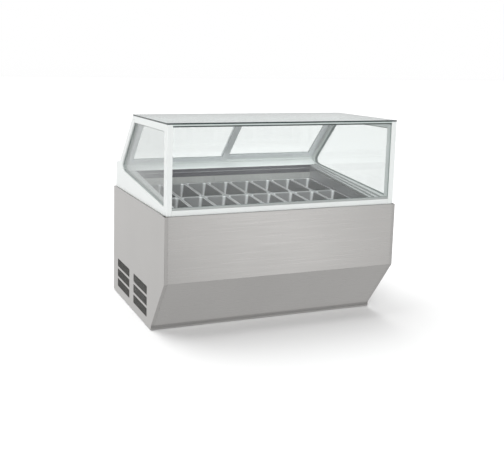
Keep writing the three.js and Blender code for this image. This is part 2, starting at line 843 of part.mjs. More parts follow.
const buildRearSill = () => {
  const ribTop = trackPlate - trackBite - sillSheet;
  const line = [
    [fromFront(sillFrontDepth), rearRiser],
    [fromFront(sillFrontDepth), sillFrontEdge],
    slopePoint(trackPlate, railInward),
    slopePoint(trackPlate, 0),
    [shelfBack, backShelfHeight],
    [shelfBack, frameBottom],
    [shelfBack - topFlange, frameBottom],
  ];
  const skin = alongX(bentSheet(line.toReversed(), sillSheet), -betweenFrames, betweenFrames);
  const ribs = [
    [innerTrack + trackWidth, railInward],
    [outerTrack + trackWidth, innerTrack],
    [0, outerTrack],
  ].map(([inward0, inward1]) =>
    alongX(shapeOf([
      slopePoint(ribTop, inward1),
      slopePoint(trackPlate + fit, inward1),
      slopePoint(trackPlate + fit, inward0),
      slopePoint(ribTop, inward0),
    ]), -betweenFrames, betweenFrames));
  const cutHalf = control.halfWidth - control.cutInset;
  const cutTall = control.halfHeight - control.cutInset;
  const window = box(control.x - cutHalf, control.x + cutHalf, shelfBack - 2 * sillSheet, shelfBack + sillSheet,
    controlHeight - cutTall, controlHeight + cutTall);
  add('rear_sill', cut(join(skin, ...ribs), window), whiteCoat);
};

// ---------------------------------------------------------------------------
// Sliding doors
// ---------------------------------------------------------------------------

const doorGroup = new THREE.Group();
doorGroup.position.set(0, slopeTop.x, slopeTop.y);
doorGroup.rotation.x = slopeAngle;
cabinet.add(doorGroup);

const buildDoors = () => {
  const far = betweenFrames - doorSideGap;
  const doors = [
    { name: 'left', x0: -far, x1: doorStile / 2, track: innerTrack, pullX: -far + doorStile / 2 },
    { name: 'right', x0: -doorStile / 2, x1: far, track: outerTrack, pullX: far - doorStile / 2 },
  ];
  doors.forEach(({ name, x0, x1, track, pullX }) => {
    const y0 = doorFromTop;
    const y1 = doorToFoot;
    const z1 = -track - trackClearance;
    const z0 = z1 - doorThickness;
    const shape = shapeOf(rectangle(x0, x1, y0, y1));
    shape.holes.push(shapeOf(rectangle(x0 + doorStile, x1 - doorStile, y0 + doorStile, y1 - doorStile)));
    const ring = extrude(shape, doorThickness).translate(0, 0, z0);
    const middle = (y0 + y1) / 2;
    const pull = box(pullX - pullWidth / 2, pullX + pullWidth / 2, middle - pullLength / 2,
      middle + pullLength / 2, z1 - pullDepth, z1 + pullDepth);
    add(`door_frame_${name}`, cut(ring, pull), anodised, doorGroup);
    const paneMiddle = (z0 + z1) / 2;
    add(`door_glass_${name}`, box(x0 + doorStile + fit, x1 - doorStile - fit, y0 + doorStile + fit,
      y1 - doorStile - fit, paneMiddle - doorPane / 2, paneMiddle + doorPane / 2), clearGlass, doorGroup);
  });
};

// ---------------------------------------------------------------------------
// Controls
// ---------------------------------------------------------------------------

const buildControls = () => {
  const plateInner = shelfBack + fit;
  const plateOuter = plateInner + control.plate;
  const knobX = control.x - control.halfWidth / 2;
  const rockerX = control.x + control.halfWidth / 2;
  const cutHalfX = rockerWidth / 2 + rockerClearance;
  const cutHalfZ = rockerHeight / 2 + rockerClearance;
  const plate = cut(
    box(control.x - control.halfWidth, control.x + control.halfWidth, plateInner, plateOuter,
      controlHeight - control.halfHeight, controlHeight + control.halfHeight),
    cylinder(shaftRadius + shaftClearance, 8 * control.plate).translate(knobX, plateOuter, controlHeight),
    box(rockerX - cutHalfX, rockerX + cutHalfX, plateInner - control.plate, plateOuter + control.plate,
      controlHeight - cutHalfZ, controlHeight + cutHalfZ),
  );
  add('control_panel', plate, blackPlastic);

  const grip = cylinder(knobRadius, knobDepth, 24).translate(0, knobDepth / 2, 0);
  const shaft = cylinder(shaftRadius, shaftLength, 16).translate(0, pointerProud - shaftLength / 2, 0);
  const pointer = box(-pointerWidth / 2, pointerWidth / 2, knobDepth - pointerProud, knobDepth + pointerProud,
    knobRadius / 4, knobRadius - pointerProud);
  const knob = add('thermostat_knob', join(grip, shaft, pointer), blackPlastic);
  knob.position.set(knobX, plateOuter + fit, controlHeight);

  const rockerProfile = [
    [-rockerDepth / 2, -rockerHeight / 2],
    [rockerDepth / 2 - 1, -rockerHeight / 2],
    [rockerDepth / 2 - 2.5, 0],
    [rockerDepth / 2, rockerHeight / 2],
    [-rockerDepth / 2, rockerHeight / 2],
  ];
  const rockerBlock = alongX(shapeOf(rockerProfile), -rockerWidth / 2, rockerWidth / 2);
  const rocker = add('power_switch', rockerBlock, blackPlastic);
  rocker.position.set(rockerX, (plateInner + plateOuter) / 2, controlHeight);

  const halfX = inlet.width / 2 - fit;
  const halfZ = inlet.tall / 2 - fit;
  const flangeBack = back - sheet - fit;
  const socket = cut(
    join(
      box(inletX - halfX, inletX + halfX, back - inlet.depth, back, inlet.height - halfZ, inlet.height + halfZ),
      box(inletX - halfX - inlet.lap, inletX + halfX + inlet.lap, flangeBack - inlet.plate, flangeBack,
        inlet.height - halfZ - inlet.lap, inlet.height + halfZ + inlet.lap),
    ),
    box(inletX - halfX + inlet.wall, inletX + halfX - inlet.wall, back - inlet.depth + inlet.wall,
      back + inlet.wall, inlet.height - halfZ + inlet.wall, inlet.height + halfZ - inlet.wall),
  );
  add('power_inlet', socket, blackPlastic);
};

// ---------------------------------------------------------------------------
// Machinery under the well
// ---------------------------------------------------------------------------

const trayTop = footPadHeight + fit + baseTube;
const coilX = -casingInner + condenser.inset;
const coilInner = coilX + condenser.thickness;
const coilFront = toe + condenser.behindToe;
const coilTop = condenser.bottom + condenser.height;
const fanX = coilInner + fanClearance + fanHubLength / 2;
const fanY = coilFront + condenser.length / 2;
const fanZ = condenser.bottom + condenser.height / 2;

const buildCondenser = () => {
  const coil = box(coilX, coilInner, coilFront, coilFront + condenser.length, trayTop + fit, coilTop);
  const pitch = condenser.length / finPlates;
  const slots = [];
  for (let i = 0; i < finPlates; i += 1) {
    const y = coilFront + (i + 0.5) * pitch;
    slots.push(box(coilX - sheet, coilX + condenser.thickness / 3, y - pitch / 5, y + pitch / 5,
      condenser.bottom, coilTop - foamUnderRim));
  }
  add('condenser_coil', cut(coil, ...slots), finnedAluminium);
};

const buildCondenserFan = () => {
  const blades = [];
  for (let i = 0; i < fanBladeCount; i += 1) {
    const blade = new THREE.BoxGeometry(fanBladeThickness, fanBladeWidth, fanRadius - fanHub / 2);
    blade.rotateZ(fanBladePitch);
    blade.translate(0, 0, (fanRadius + fanHub / 2) / 2);
    blade.rotateX((i * 2 * Math.PI) / fanBladeCount);
    blades.push(blade);
  }
  const hub = cylinder(fanHub, fanHubLength, 20).rotateZ(Math.PI / 2);
  const wheel = add('condenser_fan', join(hub, ...blades), blackPlastic);
  wheel.position.set(fanX, fanY, fanZ);

  const motorX = fanX + fanHubLength / 2 + fit;
  const motor = cylinder(motorRadius, motorLength, 20).rotateZ(Math.PI / 2);
  motor.translate(motorX + motorLength / 2, fanY, fanZ);
  const standX = motorX + motorLength / 5;
  const standHalf = motorRadius * 0.6;
  const stand = box(standX, standX + motorLength / 2, fanY - standHalf, fanY + standHalf,
    trayTop + motorSole.height - sheet, fanZ);
  const sole = box(motorX, motorX + motorSole.length, fanY - motorSole.halfWidth, fanY + motorSole.halfWidth,
    trayTop + fit, trayTop + motorSole.height);
  add('condenser_fan_motor', join(motor, stand, sole), blackEnamel);
};

const buildCompressor = () => {
  const { radius, height, sole, soleHeight } = compressor;
  const profile = [
    [0, soleHeight - sheet],
    [radius * 0.85, soleHeight - sheet],
    [radius, height * 0.16],
    [radius, height * 0.76],
    [radius * 0.88, height * 0.9],
    [radius * 0.5, height],
    [0, height],
  ];
  const points = profile.map(([r, z]) => new THREE.Vector2(r, z));
  const pot = new THREE.LatheGeometry(points, 24).rotateX(Math.PI / 2);
  const plate = box(-sole, sole, -sole * 0.7, sole * 0.7, 0, soleHeight);
  const body = add('compressor', join(pot, plate), blackEnamel);
  body.position.set(compressor.x, back - compressor.fromBack, trayTop + fit);
};

const buildEvaporator = () => {
  const { halfLength, halfDepth, height, grooves } = evaporator;
  const y = fromFront((wellFront + wellBack) / 2);
  const block = box(-halfLength, halfLength, y - halfDepth, y + halfDepth, wellFloor + fit, wellFloor + height);
  const pitch = (2 * halfLength) / grooves;
  const cuts = [];
  for (let i = 0; i < grooves; i += 1) {
    const x = -halfLength + (i + 0.5) * pitch;
    cuts.push(box(x - pitch / 5, x + pitch / 5, y - halfDepth - fit, y + halfDepth + fit,
      wellFloor + height / 2, wellFloor + height + fit));
  }
  add('evaporator_coil', cut(block, ...cuts), finnedAluminium);
};

const buildRefrigerantLine = () => {
  const start = new THREE.Vector3(
    compressor.x - compressor.radius - fit,
    back - compressor.fromBack,
    trayTop + compressor.height / 2,
  );
  const end = new THREE.Vector3(coilInner + fit, coilFront + condenser.length - 20, coilTop - 30);
  const route = new THREE.CatmullRomCurve3([
    start,
    start.clone().add(new THREE.Vector3(-70, 0, 0)),
    new THREE.Vector3(start.x - 160, end.y, end.z),
    end.clone().add(new THREE.Vector3(200, 0, 0)),
    end,
  ]);
  const section = new THREE.Shape().absarc(0, 0, lineRadius, 0, 2 * Math.PI, false);
  const tube = new THREE.ExtrudeGeometry(section, {
    steps: 24,
    curveSegments: 4,
    bevelEnabled: false,
    extrudePath: route,
  });
  add('refrigerant_line', tube, copper);
};

buildSidePanels();
buildFrontPanel();
buildRearPanel();
buildVentMesh();
buildBase();
buildInsulation();
buildLiner();
buildCoamings();
buildFrontLedge();
buildRack();
buildPans();
buildSideFrames();
buildFrontGlass();
buildRearTopRail();
buildRearSill();
buildDoors();
buildControls();
buildCondenser();
buildCondenserFan();
buildCompressor();
buildEvaporator();
buildRefrigerantLine();

export default cabinet;
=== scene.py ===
"""Looks of a glazed ice cream dipping cabinet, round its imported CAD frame: metres, +Z up, front at -Y."""

from __future__ import annotations

import logging
import math
from collections.abc import Callable, Sequence
from dataclasses import dataclass
from enum import Enum

import bmesh
import bpy
from mathutils import Matrix, Vector

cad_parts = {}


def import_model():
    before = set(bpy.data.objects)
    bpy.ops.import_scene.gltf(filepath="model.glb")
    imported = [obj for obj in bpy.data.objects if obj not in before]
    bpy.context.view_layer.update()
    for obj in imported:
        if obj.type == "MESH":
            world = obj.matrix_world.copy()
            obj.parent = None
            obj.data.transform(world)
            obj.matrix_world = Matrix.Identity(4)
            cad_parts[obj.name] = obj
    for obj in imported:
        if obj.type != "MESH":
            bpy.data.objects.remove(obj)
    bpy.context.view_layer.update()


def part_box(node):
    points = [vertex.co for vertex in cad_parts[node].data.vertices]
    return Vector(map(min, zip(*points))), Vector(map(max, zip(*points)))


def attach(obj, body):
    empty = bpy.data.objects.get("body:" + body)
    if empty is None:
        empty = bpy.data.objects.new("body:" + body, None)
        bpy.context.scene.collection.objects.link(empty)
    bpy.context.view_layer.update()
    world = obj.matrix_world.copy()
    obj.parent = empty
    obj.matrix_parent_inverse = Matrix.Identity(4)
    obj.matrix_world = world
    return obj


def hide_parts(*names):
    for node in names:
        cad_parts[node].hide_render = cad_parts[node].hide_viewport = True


LOG = logging.getLogger("dipping_cabinet")
CABINET = "cabinet"
MM = 0.001
PAINTED_LIGHT = "painted_light"  # the vertex attribute that holds the pans' painted light: painted shade on the walls, painted highlights in the corners
CLOUD_SCALE = 2.2
SHADE_SCALE = 3.0
BRUSH_DEPTH = 0.4 * MM
WELD_DISTANCE = 0.01 * MM
FLAT_ANGLE = 0.4  # degrees
CORNER_ANGLE = 60.0  # degrees
NOISE_BAND = (0.3, 0.7)  # where most of a noise lies
SQUARE = 0.9  # cosine from which a face counts as square to a direction
TURNED = 0.7  # cosine from which it counts as turned that way

Colour = tuple[float, float, float]
Socket = bpy.types.NodeSocket
Values = dict[str | int, object]


class Side(Enum):
    """The two ends of the cabinet, with the sign of X there."""

    LEFT = -1
    RIGHT = 1

    @property
    def label(self) -> str:
        """The word that this end's nodes carry."""
        return self.name.lower()


class Grain(Enum):
    """How a brushed or drawn finish is stretched: a scale for each axis, low along the lines of the brush."""

    ALONG_X = (3.0, 260.0, 260.0)
    ALONG_Y = (260.0, 3.0, 260.0)
    ALONG_Z = (260.0, 260.0, 3.0)
    NONE = (160.0, 160.0, 160.0)


# ---------------------------------------------------------------------------
# Finishes
# ---------------------------------------------------------------------------


def opaque(colour: Colour) -> tuple[float, float, float, float]:
    """A colour as the four numbers that a socket takes."""
    return *colour, 1.0


def add_node(
    tree: bpy.types.NodeTree, kind: str, values: Values | None = None, **options: object
) -> bpy.types.Node:
    """Adds a node to a tree.

    Args:
        tree: The tree.
        kind: Blender's name of the node type.
        values: What each input takes: a plain value, or a socket to link.
        options: Attributes of the node itself.

    Returns:
        The new node.
    """
    made = tree.nodes.new(kind)
    for key, option in options.items():
        setattr(made, key, option)
    for key, value in (values or {}).items():
        if isinstance(value, Socket):
            tree.links.new(value, made.inputs[key])
        else:
            made.inputs[key].default_value = value
    return made


class Recipe:
    """A material while its nodes are put together."""

    def __init__(self, name: str) -> None:
        """Starts an empty material.

        Args:
            name: The material's name.
        """
        self.material = bpy.data.materials.new(name)
        self.material.use_nodes = True
        self.tree = self.material.node_tree
        self.tree.nodes.clear()
        self.output = self.node("ShaderNodeOutputMaterial")

    def node(self, kind: str, values: Values | None = None, **options: object) -> bpy.types.Node:
        """Adds a node to the material, as add_node does."""
        return add_node(self.tree, kind, values, **options)

    def noise(self, stretch: Sequence[float], detail: float = 3.0, roughness: float = 0.5) -> Socket:
        """Noise on the piece's own coordinates.

        Args:
            stretch: Scale along each axis.
            detail: Octaves of the noise.
            roughness: Share of each finer octave.

        Returns:
            The socket that gives the noise, from 0 to 1.
        """
        place = self.node("ShaderNodeTexCoord").outputs["Object"]
        mapped = self.node("ShaderNodeMapping", {"Vector": place, "Scale": tuple(stretch)})
        values = {"Vector": mapped.outputs["Vector"], "Scale": 1.0, "Detail": detail, "Roughness": roughness}
        return self.node("ShaderNodeTexNoise", values).outputs["Fac"]

    def spread(self, share: Socket, low: float, high: float) -> Socket:
        """Maps the middle of a noise onto a range.

        Args:
            share: The noise.
            low: Result where the noise is weak.
            high: Result where it is strong.

        Returns:
            The socket that gives the result.
        """
        weak, strong = NOISE_BAND
        values = {"Value": share, "From Min": weak, "From Max": strong, "To Min": low, "To Max": high}
        return self.node("ShaderNodeMapRange", values).outputs["Result"]

    def mottle(self, share: Socket, dark: Colour, light: Colour) -> Socket:
        """Runs a noise between two colours.

        Args:
            share: The noise.
            dark: Colour where the noise is weak.
            light: Colour where it is strong.

        Returns:
            The socket that gives the colour.
        """
        values = {0: self.spread(share, 0.0, 1.0), 6: opaque(dark), 7: opaque(light)}  # 6, 7: the colours
        return self.node("ShaderNodeMix", values, data_type="RGBA").outputs[2]

    def relief(self, height: Socket, strength: float, distance: float) -> Socket:
        """A bump.

        Args:
            height: What stands proud, from 0 to 1.
            strength: Strength of the bump.
            distance: Height of the relief in metres.

        Returns:
            The normal.
        """
        values = {"Height": height, "Strength": strength, "Distance": distance}
        return self.node("ShaderNodeBump", values).outputs["Normal"]

    def surface(self, values: Values) -> None:
        """Ends the material in one Principled shader.

        Args:
            values: The shader's inputs.
        """
        self.end(self.node("ShaderNodeBsdfPrincipled", values))

    def end(self, shader: bpy.types.Node) -> None:
        """Makes a shader the material's surface."""
        self.tree.links.new(shader.outputs[0], self.output.inputs["Surface"])


@dataclass(frozen=True)
class Finish:
    """A finish, and the record's slot that it belongs to."""

    name: str
    slot: str

    def material(self) -> bpy.types.Material:
        """The finish as a material, made when it is first asked for."""
        found = bpy.data.materials.get(self.name)
        if found is not None:
            return found
        recipe = Recipe(self.name)
        self.compose(recipe)
        return recipe.material

    def compose(self, recipe: Recipe) -> None:
        """Puts the finish's nodes together.

        Args:
            recipe: The material in the making.
        """
        raise NotImplementedError


@dataclass(frozen=True)
class Metal(Finish):
    """Bare, brushed, drawn or plated metal."""

    colour: Colour = (0.5, 0.5, 0.5)
    grain: Grain = Grain.NONE
    roughness: tuple[float, float] = (0.3, 0.38)
    contrast: float = 0.04
    cloud: float = 0.03
    relief: float = 0.05
    metallic: float = 1.0

    def shade(self, recipe: Recipe, share: Socket) -> Socket:
        """Gives the share of the finish's colour that shows; a finish with painted light changes it from
        place to place.

        Args:
            recipe: The material in the making.
            share: The share that the brush lines and clouds give.

        Returns:
            The share to use.
        """
        return share

    def compose(self, recipe: Recipe) -> None:
        """Brush lines over a slow clouding of the sheet.

        Args:
            recipe: The material in the making.
        """
        lines = recipe.noise(self.grain.value, 4.0, 0.6)
        clouds = recipe.noise([CLOUD_SCALE] * 3, 2.0)
        both = recipe.node("ShaderNodeMath", {
            0: recipe.spread(clouds, -self.cloud, self.cloud),
            1: recipe.spread(lines, 1 - self.contrast, 1 + self.contrast),
        }, operation="ADD")
        share = self.shade(recipe, both.outputs[0])
        tint = recipe.node("ShaderNodeVectorMath", {0: self.colour, 3: share}, operation="SCALE")
        recipe.surface({
            "Base Color": tint.outputs[0],
            "Metallic": self.metallic,
            "Roughness": recipe.spread(lines, *self.roughness),
            "Normal": recipe.relief(lines, self.relief, BRUSH_DEPTH),
        })


@dataclass(frozen=True)
class PaintedLightMetal(Metal):
    """Drawn steel with painted light: each place is as bright as its painted-light attribute says, with
    painted shade on the walls and painted highlights in the corners.
    """

    def shade(self, recipe: Recipe, share: Socket) -> Socket:
        """Multiplies the share by the piece's own painted light.

        Args:
            recipe: The material in the making.
            share: The share that the brush lines and clouds give.

        Returns:
            The product.
        """
        painted_light = recipe.node("ShaderNodeAttribute", attribute_name=PAINTED_LIGHT).outputs["Fac"]
        return recipe.node("ShaderNodeMath", {0: share, 1: painted_light}, operation="MULTIPLY").outputs[0]


@dataclass(frozen=True)
class Coat(Finish):
    """Paint, enamel, plastic, rubber or foam: an opaque skin with a fine skin texture."""

    colour: Colour = (0.8, 0.8, 0.8)
    shade: float = 0.96
    roughness: tuple[float, float] = (0.35, 0.42)
    texture: float = 600.0
    relief: float = 0.05
    depth: float = 0.3 * MM
    metallic: float = 0.0

    def compose(self, recipe: Recipe) -> None:
        """A fine orange peel over a slow change of shade.

        Args:
            recipe: The material in the making.
        """
        skin = recipe.noise([self.texture] * 3, 2.0)
        clouds = recipe.noise([SHADE_SCALE] * 3, 2.0)
        darker: Colour = tuple(part * self.shade for part in self.colour)
        recipe.surface({
            "Base Color": recipe.mottle(clouds, darker, self.colour),
            "Metallic": self.metallic,
            "Roughness": recipe.spread(skin, *self.roughness),
            "Normal": recipe.relief(skin, self.relief, self.depth),
        })


@dataclass(frozen=True)
class Glass(Finish):
    """Clear sheet glass: it lets light through with a faint tint and mirrors more at a shallow angle."""

    tint: Colour = (0.962, 0.972, 0.97)
    mirror: Colour = (0.95, 0.97, 0.965)
    facing_mirror: float = 0.04
    steepness: float = 5.0
    smear: Colour = (4.0, 4.0, 9.0)
    roughness: tuple[float, float] = (0.02, 0.07)

    def compose(self, recipe: Recipe) -> None:
        """A clear and a mirroring shader, shared by the angle of view.

        Args:
            recipe: The material in the making.
        """
        smear = recipe.noise(self.smear, 3.0, 0.6)
        facing = recipe.node("ShaderNodeLayerWeight", {"Blend": 0.5}).outputs["Facing"]
        steep = recipe.node("ShaderNodeMath", {0: facing, 1: self.steepness}, operation="POWER").outputs[0]
        values = {0: steep, 1: 1 - self.facing_mirror, 2: self.facing_mirror}
        share = recipe.node("ShaderNodeMath", values, operation="MULTIPLY_ADD").outputs[0]
        clear = recipe.node("ShaderNodeBsdfTransparent", {"Color": opaque(self.tint)})
        shine = recipe.node("ShaderNodeBsdfPrincipled", {
            "Base Color": opaque(self.mirror),
            "Metallic": 1.0,
            "Roughness": recipe.spread(smear, *self.roughness),
        })
        recipe.end(recipe.node("ShaderNodeMixShader", {0: share, 1: clear.outputs[0], 2: shine.outputs[0]}))


CASING_STEEL = Metal(
    "casing_steel", "brushed_steel", colour=(0.545, 0.535, 0.522), grain=Grain.ALONG_X,
    roughness=(0.26, 0.32), contrast=0.02, cloud=0.02,
)
SIDE_STEEL = Metal(
    "side_steel", "brushed_steel", colour=(0.545, 0.535, 0.522), grain=Grain.ALONG_Y,
    roughness=(0.33, 0.4), contrast=0.02, cloud=0.02,
)
PAN_RIM = Coat(
    "bright_pan_rim", "pan_steel", colour=(0.78, 0.78, 0.79), shade=0.94, roughness=(0.22, 0.3),
    texture=400.0, relief=0.04, metallic=0.5,
)
# a dark copy of the pan steel: painted shade on the rear rim's risers and on the rack under the pans
SHADED_RISER_STEEL = Metal(
    "riser_steel_painted_shade", "pan_steel", colour=(0.2, 0.19, 0.22), grain=Grain.ALONG_X,
    roughness=(0.3, 0.38), contrast=0.06, cloud=0.04,
)
# the pans' steel colour is scaled by painted light: painted shade on the walls, painted highlights in the
# corners
PAN_STEEL = PaintedLightMetal(
    "drawn_pan_steel", "pan_steel", colour=(0.85, 0.85, 0.87), grain=Grain.ALONG_Z,
    roughness=(0.28, 0.36), contrast=0.05, cloud=0.05, relief=0.04, metallic=0.5,
)
WELL_STEEL = Metal(
    "well_steel", "pan_steel", colour=(0.72, 0.715, 0.7), grain=Grain.ALONG_Z, roughness=(0.28, 0.36),
    contrast=0.09, cloud=0.1, relief=0.05, metallic=0.6,
)
# a darker copy of the well steel: painted shade on the well's end walls
WELL_SHADED_STEEL = Metal(
    "well_steel_painted_shade", "pan_steel", colour=(0.4, 0.4, 0.41), grain=Grain.ALONG_Z,
    roughness=(0.28, 0.36), contrast=0.09, cloud=0.1, relief=0.05, metallic=0.7,
)
TREAD_METAL = Coat(
    "tread_metal", "anodised", colour=(0.72, 0.73, 0.73), shade=0.95, roughness=(0.3, 0.38),
    texture=500.0, relief=0.03, metallic=0.4,
)
# a darker copy of the tread metal: painted shade on the side rims' risers
SHADED_RISER_METAL = Coat(
    "riser_metal_painted_shade", "anodised", colour=(0.42, 0.43, 0.43), shade=0.95, roughness=(0.35, 0.42),
    texture=500.0, relief=0.03, metallic=0.5,
)
RIM_STEEL = Metal(
    "rim_steel", "pan_steel", colour=(0.5, 0.5, 0.52), grain=Grain.ALONG_X, roughness=(0.25, 0.32),
    contrast=0.05, cloud=0.03,
)
ANODISED = Coat(
    "anodised_profile", "anodised", colour=(0.84, 0.85, 0.87), shade=0.96, roughness=(0.3, 0.38),
    texture=500.0, relief=0.04, metallic=0.2,
)
GALVANISED = Metal(
    "zinc_plate", "galvanised", colour=(0.4, 0.41, 0.42), grain=Grain.NONE, roughness=(0.4, 0.6),
    contrast=0.12, cloud=0.08,
)
FIN_METAL = Metal(
    "coil_fins", "finned_aluminium", colour=(0.55, 0.56, 0.57), grain=Grain.ALONG_Z,
    roughness=(0.35, 0.45),
)
COPPER = Metal(
    "copper_tube", "copper", colour=(0.72, 0.35, 0.2), grain=Grain.NONE, roughness=(0.25, 0.35),
    contrast=0.08, cloud=0.06,
)
SCREW_METAL = Metal(
    "screw_heads", "galvanised", colour=(0.35, 0.35, 0.36), grain=Grain.NONE, roughness=(0.3, 0.35),
)
WHITE_COAT = Coat(
    "white_powder_coat", "white_coat", colour=(0.64, 0.662, 0.655), shade=0.985, roughness=(0.34, 0.4),
    texture=700.0, relief=0.04,
)
# a lighter copy of the white coat: painted light on the rear sill, which sits in shade under the glass
LIT_WHITE_COAT = Coat(
    "white_coat_painted_light", "white_coat", colour=(0.86, 0.88, 0.875), shade=0.985, roughness=(0.34, 0.4),
    texture=700.0, relief=0.04,
)
GREY_RUBBER = Coat(
    "grey_seal", "seal_rubber", colour=(0.33, 0.35, 0.345), shade=0.9, roughness=(0.6, 0.75),
    texture=350.0, relief=0.15,
)
DARK_SEAL = Coat(
    "dark_seal", "seal_rubber", colour=(0.05, 0.062, 0.06), shade=0.9, roughness=(0.5, 0.65),
    texture=350.0, relief=0.15,
)
PALE_SEAL = Coat(
    "pale_seal", "seal_rubber", colour=(0.5, 0.56, 0.54), shade=0.95, roughness=(0.3, 0.4),
    texture=350.0, relief=0.1,
)
VENT_MESH = Coat(
    "vent_mesh_paint", "dark_mesh", colour=(0.1, 0.098, 0.092), shade=0.9, roughness=(0.5, 0.6),
    texture=500.0, relief=0.1, metallic=0.3,
)
FOAM = Coat(
    "insulating_foam", "foam", colour=(0.75, 0.68, 0.42), shade=0.9, roughness=(0.85, 0.95),
    texture=120.0, relief=0.5, depth=2 * MM,
)
BLACK_PLASTIC = Coat(
    "black_plastic_skin", "black_plastic", colour=(0.018, 0.019, 0.021), shade=0.85,
    roughness=(0.42, 0.5), texture=900.0, relief=0.12,
)
BLACK_ENAMEL = Coat(
    "black_enamel_skin", "black_enamel", colour=(0.012, 0.013, 0.014), shade=0.85,
    roughness=(0.22, 0.3), texture=300.0, relief=0.08,
)
CLEAR_GLASS = Glass("clear_sheet_glass", "clear_glass")
SIDE_GLASS = Glass("side_sheet_glass", "clear_glass", tint=(0.9, 0.91, 0.907))
ROOF_GLASS = Glass(
    "roof_sheet_glass", "roof_glass", tint=(0.9, 0.93, 0.92), mirror=(0.52, 0.57, 0.565),
    facing_mirror=0.06,
)
GLASS_EDGE = Coat(
    "ground_glass_edge", "roof_glass", colour=(0.022, 0.036, 0.036), shade=0.9, roughness=(0.15, 0.25),
    texture=300.0, relief=0.05,
)
PANE_EDGE = Coat(
    "pane_edge", "clear_glass", colour=(0.3, 0.345, 0.335), shade=0.95, roughness=(0.15, 0.25),
    texture=300.0, relief=0.05,
)
PALE_FLOOR = Coat("pale_floor", "", shade=1.0, roughness=(0.8, 0.8), texture=20.0, relief=0.0)


# ---------------------------------------------------------------------------
# Mesh work
# ---------------------------------------------------------------------------


def copied(node: str) -> bmesh.types.BMesh:
    """A CAD node's mesh with its triangles joined up again.

    Args:
        node: The node's name.

    Returns:
        The joined mesh, with one face for each flat of the part.
    """
    bm = bmesh.new()
    bm.from_mesh(bpy.data.objects[node].data)
    bmesh.ops.remove_doubles(bm, verts=bm.verts, dist=WELD_DISTANCE)
    bmesh.ops.dissolve_limit(bm, angle_limit=math.radians(FLAT_ANGLE), verts=bm.verts, edges=bm.edges)
    bm.normal_update()
    return bm


def widest_normal(node: str) -> Vector:
    """The direction that a flat CAD node faces.

    Args:
        node: The node's name.

    Returns:
        The normal of its largest face.
    """
    bm = copied(node)
    normal = max(bm.faces, key=lambda face: face.calc_area()).normal.copy()
    bm.free()
    return normal


def soften(
    bm: bmesh.types.BMesh,
    width: float,
    segments: int = 2,
    sharper_than: float = 25.0,
    only: Callable[[bmesh.types.BMEdge], bool] | None = None,
) -> None:
    """Rounds the sharp edges of a mesh.

    Args:
        bm: The mesh.
        width: How far the round reaches from the edge.
        segments: Strips across the round.
        sharper_than: Edges with less than this turn, in degrees, stay as they are.
        only: Says which of the sharp edges are rounded; all of them without it.
    """
    turn = math.radians(sharper_than)
    edges = [e for e in bm.edges if len(e.link_faces) == 2 and e.calc_face_angle(0.0) > turn]
    if only is not None:
        edges = [e for e in edges if only(e)]
    bmesh.ops.bevel(bm, geom=edges, offset=width, offset_type="OFFSET", affect="EDGES", segments=segments,
                    profile=0.5, material=-1, clamp_overlap=True, loop_slide=True)


def add_block(bm: bmesh.types.BMesh, low: Sequence[float], high: Sequence[float]) -> None:
    """Adds a block between two corners.

    Args:
        bm: The mesh that it joins.
        low: Lowest corner.
        high: Highest corner.
    """
    lowest, highest = Vector(low), Vector(high)
    place = Matrix.Translation((lowest + highest) / 2) @ Matrix.Diagonal((*(highest - lowest), 1.0))
    bmesh.ops.create_cube(bm, size=1.0, matrix=place)


def add_disc(
    bm: bmesh.types.BMesh,
    centre: Sequence[float],
    axis: Sequence[float],
    radii: Sequence[float],
    rises: Sequence[float],
    sides: int,
) -> None:
    """Adds a closed turned shape: circles of the given radii, one after another along an axis.

    Args:
        bm: The mesh that it joins.
        centre: Where the axis starts.
        axis: Direction of the axis.
        radii: Radius of each circle.
        rises: How far along the axis each circle lies.
        sides: Corners of each circle.
    """
    turn = Vector(axis).to_track_quat("Z", "Y").to_matrix().to_4x4()
    loops = []
    for radius, rise in zip(radii, rises):
        place = Matrix.Translation(Vector(centre)) @ turn @ Matrix.Translation((0, 0, rise))
        loops.append(bmesh.ops.create_circle(bm, segments=sides, radius=radius, matrix=place)["verts"])
    close_loops(bm, loops)


def close_loops(bm: bmesh.types.BMesh, loops: Sequence[list[bmesh.types.BMVert]]) -> None:
    """Joins loops one to the next, corner by corner, and closes the first and the last.

    Args:
        bm: The mesh that holds the loops.
        loops: The vertices of each loop, all in the same order round it.
    """
    for one, other in zip(loops, loops[1:]):
        for corner in range(len(one)):
            bm.faces.new((one[corner - 1], one[corner], other[corner], other[corner - 1]))
    bm.faces.new(loops[0])
    bm.faces.new(loops[-1])


def rounded_loop(
    bm: bmesh.types.BMesh, half_x: float, half_y: float, radius: float, height: float, sides: int
) -> list[bmesh.types.BMVert]:
    """Adds a level rectangle with round corners.

    Args:
        bm: The mesh that it joins.
        half_x: Half its size along X.
        half_y: Half its size along Y.
        radius: Radius of its corners.
        height: Z of the loop.
        sides: Vertices in the whole loop, a multiple of four.

    Returns:
        The loop's vertices in order round it.
    """
    start = Matrix.Translation((0, 0, height)) @ Matrix.Rotation(math.pi / sides, 4, "Z")
    verts = bmesh.ops.create_circle(bm, segments=sides, radius=radius, matrix=start)["verts"]
    for vert in verts:
        vert.co.x += math.copysign(half_x - radius, vert.co.x)
        vert.co.y += math.copysign(half_y - radius, vert.co.y)
    return verts


